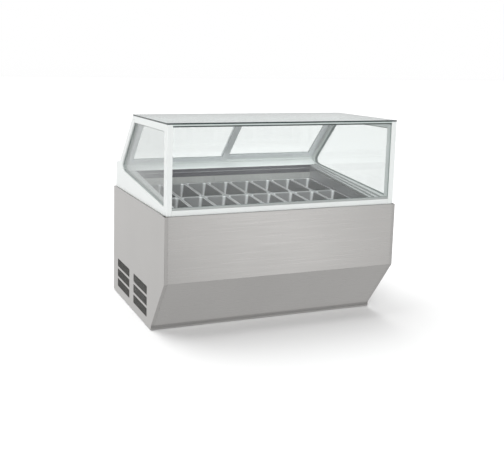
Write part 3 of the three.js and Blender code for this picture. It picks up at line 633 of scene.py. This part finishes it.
def put(
    name: str,
    bm: bmesh.types.BMesh,
    finishes: Sequence[Finish],
    body: str = CABINET,
    replaced: Sequence[str] = (),
    smooth: float = 12.0,
) -> None:
    """Makes a piece of a mesh, dresses it and sets it on its body.

    Args:
        name: The piece's name.
        bm: Its mesh, in place. It is used up.
        finishes: Its finishes, in the order of the faces' material numbers.
        body: The CAD body that it rides on.
        replaced: CAD nodes that it stands for.
        smooth: Edges with more turn than this, in degrees, stay crisp.
    """
    bmesh.ops.recalc_face_normals(bm, faces=bm.faces)
    mesh = bpy.data.meshes.new(name)
    bm.to_mesh(mesh)
    bm.free()
    for finish in finishes:
        mesh.materials.append(finish.material())
    mesh.shade_smooth()
    mesh.set_sharp_from_angle(angle=math.radians(smooth))
    piece = bpy.data.objects.new(name, mesh)
    bpy.context.scene.collection.objects.link(piece)
    weighted = piece.modifiers.new("weighted_normals", "WEIGHTED_NORMAL")
    weighted.keep_sharp = True
    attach(piece, body)
    if replaced:
        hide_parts(*replaced)
    LOG.info("%s: %d faces on %s", name, len(mesh.polygons), body)


def dress(node: str, finish: Finish) -> None:
    """Gives a CAD node that stays in view its finish.

    Args:
        node: The node's name.
        finish: Its finish.
    """
    holder = bpy.data.objects[node]
    for place in holder.material_slots:
        place.material = finish.material()
    LOG.info("%s: dressed in %s", node, finish.name)


def rounded_copy(node: str, finish: Finish, width: float, body: str = CABINET, segments: int = 2) -> None:
    """A CAD node again with its edges rounded.

    Args:
        node: The node that it stands for.
        finish: Its finish.
        width: Reach of the rounds.
        body: The body that it rides on.
        segments: Strips across each round.
    """
    bm = copied(node)
    soften(bm, width, segments)
    put(f"{node}_shaped", bm, [finish], body, [node])


# ---------------------------------------------------------------------------
# Casing
# ---------------------------------------------------------------------------


@dataclass
class Casing:
    """The folded steel casing with its vents."""

    fold: float = 1.8 * MM
    fold_strips: int = 3
    edge: float = 0.35 * MM
    on_plane: float = 0.1 * MM
    whole_width: float = 0.9
    hole_pitch: float = 7.4 * MM
    web: float = 1.5 * MM
    mesh_sheet: float = 1.1 * MM

    def build(self) -> None:
        """Builds the panels and the vent mesh."""
        for side in Side:
            self.side_panel(side)
        self.front_panel()
        rounded_copy("rear_panel", CASING_STEEL, self.edge, segments=1)
        self.vent_mesh()

    def side_panel(self, side: Side) -> None:
        """One end panel, with the fold down its front rounded as a brake leaves it.

        Args:
            side: Which end.
        """
        node = f"side_panel_{side.label}"
        low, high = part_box(node)
        outer = low.x if side is Side.LEFT else high.x
        bm = copied(node)

        def folded(edge: bmesh.types.BMEdge) -> bool:
            """Whether an edge lies on the outer corner of the front fold."""
            middle = (edge.verts[0].co + edge.verts[1].co) / 2
            return all(abs(v.co.x - outer) < self.on_plane for v in edge.verts) and self.on_front_line(middle)

        soften(bm, self.fold, self.fold_strips, only=folded)
        soften(bm, self.edge, 1, CORNER_ANGLE)
        put(f"{node}_shaped", bm, [SIDE_STEEL], replaced=[node])

    def on_front_line(self, place: Vector) -> bool:
        """Whether a point lies on the customer side, above the toe.

        Args:
            place: A point on the side panel's outline.

        Returns:
            True in front of the feet and above the front panel's lower edge.
        """
        return place.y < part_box("foot_front_left")[0].y and place.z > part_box("front_panel")[0].z + MM

    def front_panel(self) -> None:
        """The front panel, with its creases rounded."""
        bm = copied("front_panel")
        low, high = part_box("front_panel")
        width = high.x - low.x

        def creased(edge: bmesh.types.BMEdge) -> bool:
            """Whether an edge runs across the whole panel along an outer crease."""
            return edge.calc_length() > width * self.whole_width and edge.is_convex

        soften(bm, self.fold, self.fold_strips, only=creased)
        soften(bm, self.edge, 1, CORNER_ANGLE)
        put("front_panel_shaped", bm, [CASING_STEEL], replaced=["front_panel"])

    def vent_mesh(self) -> None:
        """The square-holed mesh behind the vents."""
        low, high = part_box("vent_mesh")
        bm = bmesh.new()
        size, middle = high - low, (low + high) / 2
        upright = Matrix((
            (0, 0, 1, low.x),
            (size.y, 0, 0, middle.y),
            (0, size.z, 0, middle.z),
            (0, 0, 0, 1),
        ))
        columns, rows = round(size.y / self.hole_pitch), round(size.z / self.hole_pitch)
        bmesh.ops.create_grid(bm, x_segments=columns, y_segments=rows, size=0.5, matrix=upright)
        cells = [f for f in bm.faces if not any(e.is_boundary for e in f.edges)]
        bmesh.ops.inset_individual(bm, faces=cells, thickness=self.web / 2, use_even_offset=True)
        bmesh.ops.delete(bm, geom=cells, context="FACES")
        bmesh.ops.solidify(bm, geom=bm.faces[:], thickness=-self.mesh_sheet)
        put("vent_mesh_woven", bm, [VENT_MESH], replaced=["vent_mesh"])


# ---------------------------------------------------------------------------
# Well and pans
# ---------------------------------------------------------------------------


@dataclass
class Well:
    """The steel well, its stepped rims and the rack."""

    step_round: float = 1.6 * MM
    sheet_round: float = 0.4 * MM

    def build(self) -> None:
        """Builds the liner, the rims, the ledge and the rack."""
        self.liner()
        for side in Side:
            self.steps(f"coaming_{side.label}", self.step_round, TREAD_METAL, SHADED_RISER_METAL)
        self.steps("coaming_rear", self.sheet_round, PAN_RIM, SHADED_RISER_STEEL)
        rounded_copy("front_ledge", RIM_STEEL, self.sheet_round, segments=1)
        # the rack takes the same dark painted shade
        rounded_copy("pan_rack", SHADED_RISER_STEEL, self.sheet_round, segments=1)
        for node in ("insulation_trough", "insulation_left", "insulation_right"):
            dress(node, FOAM)

    def liner(self) -> None:
        """The liner, with painted shade: its end walls take a darker copy of the steel than its front and
        back walls.
        """
        bm = copied("tub_liner")
        soften(bm, self.sheet_round, 1)
        bm.normal_update()
        for face in bm.faces:
            # end walls take the darker copy, painted shade
            face.material_index = 1 if abs(face.normal.x) > TURNED else 0
        put("tub_liner_shaped", bm, [WELL_STEEL, WELL_SHADED_STEEL], replaced=["tub_liner"])

    def steps(self, node: str, width: float, tread: Finish, riser: Finish) -> None:
        """A stepped rim, with one finish on its treads and a darker one, painted shade, on its risers.

        Args:
            node: The rim's node.
            width: Reach of the rounds.
            tread: Finish of what faces up.
            riser: Finish of the rest.
        """
        bm = copied(node)
        soften(bm, width, 1)
        bm.normal_update()
        for face in bm.faces:
            # faces that don't face up take the riser finish, painted shade
            face.material_index = 0 if face.normal.z > 0.5 else 1
        put(f"{node}_shaped", bm, [tread, riser], replaced=[node])


@dataclass
class Pans:
    """Drawn steel pans with flat rims and round corners; their walls carry painted shade and painted
    highlights as a share of the steel's brightness.
    """

    columns: int = 8
    tilt: float = math.radians(4.9)
    half_x: float = 82.5 * MM
    half_y: float = 180.0 * MM
    rim_thickness: float = 1.2 * MM
    sides: int = 32
    crisp: float = 50.0  # degrees
    corner_reach: float = 35.0 * MM
    # painted light of the pan walls: painted shade on the long walls, lighter painted shade on the ends, a
    # painted highlight in the corners
    wall_shade: float = 0.11
    end_wall_shade: float = 0.42
    corner_highlight: float = 1.0
    # painted shade on the outer lip, for the dark gap between neighbouring rims
    lip_shade: float = 0.12
    lip: float = 2.0 * MM
    # How far in from the rim's edge, corner radius and height, in millimetres, from under the floor, round
    # the rim, to the top of the floor.
    profile: tuple[tuple[float, float, float], ...] = (
        (36.0, 12.0, -118.6),
        (28.0, 14.0, -118.2),
        (22.4, 16.0, -114.6),
        (20.4, 17.6, -107.0),
        (9.8, 25.4, -8.0),
        (9.2, 25.8, -1.2),
        (8.0, 25.0, 0.0),
        (1.0, 13.4, 0.0),
        (0.0, 14.0, 0.3),
        (0.0, 14.0, 0.8),
        (1.5, 13.2, 1.2),
        (8.6, 25.0, 1.2),
        (9.8, 25.4, 0.7),
        (10.6, 25.2, -1.4),
        (11.2, 24.6, -8.0),
        (21.4, 17.0, -106.4),
        (23.2, 15.6, -112.8),
        (28.4, 13.6, -116.8),
        (36.0, 12.0, -117.4),
    )

    def build(self) -> None:
        """Builds every pan on its own body."""
        for row in ("front", "rear"):
            for column in range(1, self.columns + 1):
                self.pan(f"pan_{row}_{column}")

    def pan(self, node: str) -> None:
        """One pan.

        Args:
            node: The pan's node, which is also its body's name.
        """
        low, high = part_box(node)
        sine, cosine = math.sin(self.tilt), math.cos(self.tilt)
        centre = Vector((
            (low.x + high.x) / 2,
            low.y + self.half_y * cosine + self.rim_thickness * sine,
            high.z - self.half_y * sine - self.rim_thickness * cosine,
        ))
        bm = bmesh.new()
        loops = []
        for inset, radius, height in self.profile:
            half_x, half_y = self.half_x - inset * MM, self.half_y - inset * MM
            loops.append(rounded_loop(bm, half_x, half_y, radius * MM, height * MM, self.sides))
        close_loops(bm, loops)
        for face in bm.faces:
            face.material_index = 1 if face.calc_center_median().z > self.rim_thickness * 0.9 else 0
        self.painted_light(bm)
        place = Matrix.Translation(centre) @ Matrix.Rotation(self.tilt, 4, "X")
        bmesh.ops.transform(bm, matrix=place, verts=bm.verts)
        put(f"{node}_drawn", bm, [PAN_STEEL, PAN_RIM], node, [node], self.crisp)

    def painted_light(self, bm: bmesh.types.BMesh) -> None:
        """Paints light into the steel: darkest painted shade on the long walls, lighter on the ends, a
        painted highlight in the corners and dark painted shade on the outer lip.

        Args:
            bm: The pan's mesh before it is tilted.
        """
        layer = bm.verts.layers.float.new(PAINTED_LIGHT)
        for vert in bm.verts:
            out = Vector((
                max(0.0, abs(vert.co.x) - self.half_x + self.corner_reach),
                max(0.0, abs(vert.co.y) - self.half_y + self.corner_reach),
            ))
            along_y = out.y ** 2 / max(out.length_squared, MM ** 2)
            corner = 4 * along_y * (1 - along_y)
            # painted shade on the walls and a painted highlight in the corners for this vertex
            vert[layer] = self.wall_shade + (self.end_wall_shade - self.wall_shade) * along_y + self.corner_highlight * corner
            # the outer lip gets painted shade, the dark gap between neighbouring rims
            if min(self.half_x - abs(vert.co.x), self.half_y - abs(vert.co.y)) < self.lip:
                vert[layer] = self.lip_shade


# ---------------------------------------------------------------------------
# Glass house
# ---------------------------------------------------------------------------


@dataclass
class GlassHouse:
    """The white frames, the panes and their seals."""

    frame_round: float = 2.0 * MM
    sill_round: float = 1.5 * MM
    sheet_round: float = 0.5 * MM
    seal_round: float = 1.2 * MM
    rail_round: float = 1.0 * MM
    glass_round: float = 0.8 * MM
    gasket_round: float = 0.8 * MM
    gasket_width: float = 5.0 * MM
    gasket_height: float = 2.4 * MM
    clearance: float = 0.1 * MM
    seal_line: float = 7.0 * MM
    screw_radius: float = 3.4 * MM
    screw_rise: float = 1.4 * MM
    screw_sides: int = 16
    # How far each screw lies in front of the roof's rear edge, and below the top of its frame.
    screw_places: tuple[tuple[float, float], ...] = ((26 * MM, 24 * MM), (30 * MM, 50 * MM))

    def build(self) -> None:
        """Builds the frames, the rails, the panes, the seals and the screws."""
        for side in Side:
            rounded_copy(f"side_frame_{side.label}", WHITE_COAT, self.frame_round)
            self.pane(f"side_glass_{side.label}", Vector((1, 0, 0)), SIDE_GLASS, PANE_EDGE)
            self.window_gaskets(side)
            self.screws(side)
        rounded_copy("front_sill", WHITE_COAT, self.sill_round)
        # the rear sill under the glass takes the lighter copy, painted light
        rounded_copy("rear_sill", LIT_WHITE_COAT, self.sheet_round, segments=1)
        rounded_copy("rear_top_rail", ANODISED, self.sheet_round, segments=1)
        rounded_copy("front_glass_seal", GREY_RUBBER, self.seal_round)
        self.front_rail()
        self.pane("front_glass", Vector((0, 1, 0)), CLEAR_GLASS, PANE_EDGE)
        self.pane("top_glass", Vector((0, 0, 1)), ROOF_GLASS, GLASS_EDGE)

    def pane(self, node: str, across: Vector, clear: Finish, rim: Finish, body: str = CABINET) -> None:
        """A pane with polished arrises, clear through its thickness and tinted round its edge.

        Args:
            node: The pane's node.
            across: Direction through the pane.
            clear: Finish of its two sides.
            rim: Finish of its edge.
            body: The body that it rides on.
        """
        bm = copied(node)
        soften(bm, self.glass_round, 1, CORNER_ANGLE)
        bm.normal_update()
        for face in bm.faces:
            face.material_index = 0 if abs(face.normal.dot(across)) > SQUARE else 1
        put(f"{node}_pane", bm, [clear, rim], body, [node])

    def window_gaskets(self, side: Side) -> None:
        """A bead of rubber round each face of a side window.

        Args:
            side: Which end.
        """
        node = f"side_glass_{side.label}"
        for face_of, sign in (("outer", side.value), ("inner", -side.value)):
            bm = copied(node)
            away = Vector((sign, 0, 0))
            others = [f for f in bm.faces if f.normal.dot(away) < SQUARE]
            bmesh.ops.delete(bm, geom=others, context="FACES")
            middle = bm.faces[:]
            bmesh.ops.inset_region(bm, faces=middle, thickness=self.gasket_width, use_boundary=True,
                                   use_even_offset=True)
            bmesh.ops.delete(bm, geom=middle, context="FACES")
            ring = bmesh.ops.extrude_face_region(bm, geom=bm.faces[:])
            risen = [g for g in ring["geom"] if isinstance(g, bmesh.types.BMVert)]
            bmesh.ops.translate(bm, vec=away * self.gasket_height, verts=risen)
            bmesh.ops.translate(bm, vec=away * self.clearance, verts=bm.verts)
            bmesh.ops.recalc_face_normals(bm, faces=bm.faces)
            soften(bm, self.gasket_round, 2, 50.0)
            put(f"window_gasket_{side.label}_{face_of}", bm, [GREY_RUBBER])

    def screws(self, side: Side) -> None:
        """The two small screws near the upper rear corner of a frame.

        Args:
            side: Which end.
        """
        low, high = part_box(f"side_frame_{side.label}")
        roof_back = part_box("top_glass")[1].y
        face = low.x if side is Side.LEFT else high.x
        radii = [self.screw_radius * share for share in (1.0, 1.0, 0.8, 0.3)]
        rises = [self.screw_rise * share for share in (0.0, 0.5, 1.0, 0.7)]
        bm = bmesh.new()
        for back_off, drop in self.screw_places:
            place = (face, roof_back - back_off, high.z - drop)
            add_disc(bm, place, (side.value, 0, 0), radii, rises, self.screw_sides)
        put(f"frame_screws_{side.label}", bm, [SCREW_METAL])

    def front_rail(self) -> None:
        """The strip under the roof's front edge: pale above, with a dark seal on the pane below."""
        low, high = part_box("top_front_rail")
        for name, z0, z1, finish, replaced in (
            ("top_front_rail_strip", low.z + self.seal_line, high.z, PALE_SEAL, ["top_front_rail"]),
            ("top_front_rail_seal", low.z, low.z + self.seal_line - self.clearance, DARK_SEAL, []),
        ):
            bm = bmesh.new()
            add_block(bm, (low.x, low.y, z0), (high.x, high.y, z1))
            soften(bm, self.rail_round, 2)
            put(name, bm, [finish], replaced=replaced)


# ---------------------------------------------------------------------------
# Sliding doors
# ---------------------------------------------------------------------------


@dataclass
class Doors:
    """The two sliding doors in the slope."""

    frame_round: float = 1.5 * MM

    def build(self, house: GlassHouse) -> None:
        """Builds both doors.

        Args:
            house: The glass house, which knows how a pane is made.
        """
        for side in Side:
            body = f"door_{side.label}"
            rounded_copy(f"door_frame_{side.label}", ANODISED, self.frame_round, body)
            node = f"door_glass_{side.label}"
            house.pane(node, widest_normal(node), SIDE_GLASS, PANE_EDGE, body)


# ---------------------------------------------------------------------------
# Controls and machinery
# ---------------------------------------------------------------------------


@dataclass
class Controls:
    """The thermostat, the switch and the mains inlet."""

    edge: float = 0.6 * MM

    def build(self) -> None:
        """Builds the controls."""
        rounded_copy("control_panel", BLACK_PLASTIC, self.edge)
        rounded_copy("thermostat_knob", BLACK_PLASTIC, self.edge, "thermostat_knob")
        rounded_copy("power_switch", BLACK_PLASTIC, self.edge, "power_switch")
        rounded_copy("power_inlet", BLACK_PLASTIC, self.edge)


@dataclass
class Machinery:
    """The base frame, the feet and the cooling parts under the well."""

    def build(self) -> None:
        """Dresses the parts."""
        dress("base_frame", GALVANISED)
        for place in ("front_left", "front_right", "rear_left", "rear_right"):
            dress(f"foot_{place}", BLACK_PLASTIC)
        dress("condenser_coil", FIN_METAL)
        dress("condenser_fan", BLACK_PLASTIC)
        dress("condenser_fan_motor", BLACK_ENAMEL)
        dress("compressor", BLACK_ENAMEL)
        dress("evaporator_coil", FIN_METAL)
        dress("refrigerant_line", COPPER)


# ---------------------------------------------------------------------------
# Studio
# ---------------------------------------------------------------------------


@dataclass
class Studio:
    """Pale floor, soft light and the camera. Angles are in degrees."""

    place: tuple[float, float, float] = (-2.13901, -4.57356, 1.66910)
    turn: tuple[float, float, float] = (82.0408, -0.9986, -20.4114)
    lens: float = 53.194
    shift: tuple[float, float] = (0.1230, -0.1260)
    sensor: float = 36.0
    reach: float = 400.0
    # How bright the surround is at each height of the direction, from straight down to straight up.
    levels: tuple[tuple[float, float], ...] = (
        (-1.0, 0.72), (-0.5, 0.78), (-0.15, 0.95), (0.0, 1.0), (0.3, 1.0), (0.55, 0.5), (1.0, 0.35))
    front_level: float = 0.5
    # Y of the direction, from where the front has its own level to where it is full.
    front_band: tuple[float, float] = (-0.35, 0.1)
    panel_towards: tuple[float, float, float] = (0.454, -0.891, -0.2)
    panel_focus: float = 90.0
    panel_level: float = 1.4
    sun: float = 2.8
    sun_from: tuple[float, float, float] = (-0.25, 0.3, 1.0)
    sun_spread: float = 70.0
    key: float = 1.9
    key_from: tuple[float, float, float] = (-0.35, -0.85, 0.5)
    key_spread: float = 40.0
    floor_half: float = 60.0

    def build(self) -> None:
        """Sets up the studio."""
        self.camera()
        self.floor()
        self.light()

    def camera(self) -> None:
        """Adds the camera."""
        data = bpy.data.cameras.new("camera")
        data.sensor_fit = "HORIZONTAL"
        data.sensor_width = self.sensor
        data.lens = self.lens
        data.shift_x, data.shift_y = self.shift
        data.clip_end = self.reach
        camera = bpy.data.objects.new("camera", data)
        camera.location = self.place
        camera.rotation_euler = [math.radians(angle) for angle in self.turn]
        bpy.context.scene.collection.objects.link(camera)
        bpy.context.scene.camera = camera

    def floor(self) -> None:
        """Lays the floor."""
        bm = bmesh.new()
        bmesh.ops.create_grid(bm, x_segments=1, y_segments=1, size=self.floor_half)
        mesh = bpy.data.meshes.new("floor")
        bm.to_mesh(mesh)
        bm.free()
        mesh.materials.append(PALE_FLOOR.material())
        floor = bpy.data.objects.new("floor", mesh)
        bpy.context.scene.collection.objects.link(floor)
        floor.visible_glossy = False

    def light(self) -> None:
        """Adds the surround, a broad soft light from above and a key light from the front left."""
        self.surround()
        bpy.context.scene.view_settings.view_transform = "Standard"
        self.lamp("overhead", self.sun, self.sun_from, self.sun_spread).visible_glossy = False
        self.lamp("key", self.key, self.key_from, self.key_spread)

    def lamp(self, name: str, energy: float, towards: Sequence[float], spread: float) -> bpy.types.Object:
        """Adds a distant light.

        Args:
            name: Its name.
            energy: Its strength.
            towards: The direction that it shines from.
            spread: How wide it looks, in degrees.

        Returns:
            The light.
        """
        data = bpy.data.lights.new(name, "SUN")
        data.energy = energy
        data.angle = math.radians(spread)
        lamp = bpy.data.objects.new(name, data)
        lamp.rotation_mode = "QUATERNION"
        lamp.rotation_quaternion = Vector(towards).to_track_quat("Z", "Y")
        bpy.context.scene.collection.objects.link(lamp)
        return lamp

    def surround(self) -> None:
        """Lights each direction by height and by how far in front it is, and adds a soft panel in front."""
        world = bpy.data.worlds.new("surround")
        world.use_nodes = True
        tree = world.node_tree
        shader = tree.nodes["Background"]
        shader.inputs["Color"].default_value = (1.0, 1.0, 1.0, 1.0)

        def node(kind: str, values: Values, **options: object) -> Socket:
            """Adds a node to the surround and gives its first output."""
            return add_node(tree, kind, values, **options).outputs[0]

        direction = tree.nodes.new("ShaderNodeTexCoord").outputs["Generated"]
        parts = node("ShaderNodeSeparateXYZ", {0: direction}).node
        height = node("ShaderNodeMapRange", {0: parts.outputs["Z"], 1: -1.0, 2: 1.0})
        ramp = node("ShaderNodeValToRGB", {0: height}).node
        for place, (rise, level) in enumerate(self.levels):
            stops = ramp.color_ramp.elements
            stop = stops[place] if place < 2 else stops.new(1.0)
            stop.position = (rise + 1) / 2
            stop.color = (level, level, level, 1.0)
        start, end = self.front_band
        values = {0: parts.outputs["Y"], 1: start, 2: end, 3: self.front_level, 4: 1.0}
        ahead = node("ShaderNodeMapRange", values, interpolation_type="SMOOTHSTEP")
        panel = Vector(self.panel_towards).normalized()
        near = node("ShaderNodeVectorMath", {0: direction, 1: tuple(panel)}, operation="DOT_PRODUCT").node
        near_panel = node("ShaderNodeMath", {0: near.outputs["Value"], 1: 0.0}, operation="MAXIMUM")
        lobe = node("ShaderNodeMath", {0: near_panel, 1: self.panel_focus}, operation="POWER")
        level = node("ShaderNodeMath", {0: ramp.outputs["Color"], 1: ahead}, operation="MULTIPLY")
        total = node("ShaderNodeMath", {0: lobe, 1: self.panel_level, 2: level}, operation="MULTIPLY_ADD")
        tree.links.new(total, shader.inputs["Strength"])
        bpy.context.scene.world = world


def main() -> None:
    """Builds the cabinet's looks around its frame."""
    logging.basicConfig(level=logging.INFO, format="%(message)s")
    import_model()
    house = GlassHouse()
    Studio().build()
    Casing().build()
    Well().build()
    Pans().build()
    house.build()
    Doors().build(house)
    Controls().build()
    Machinery().build()


if __name__ == "__main__":
    main()
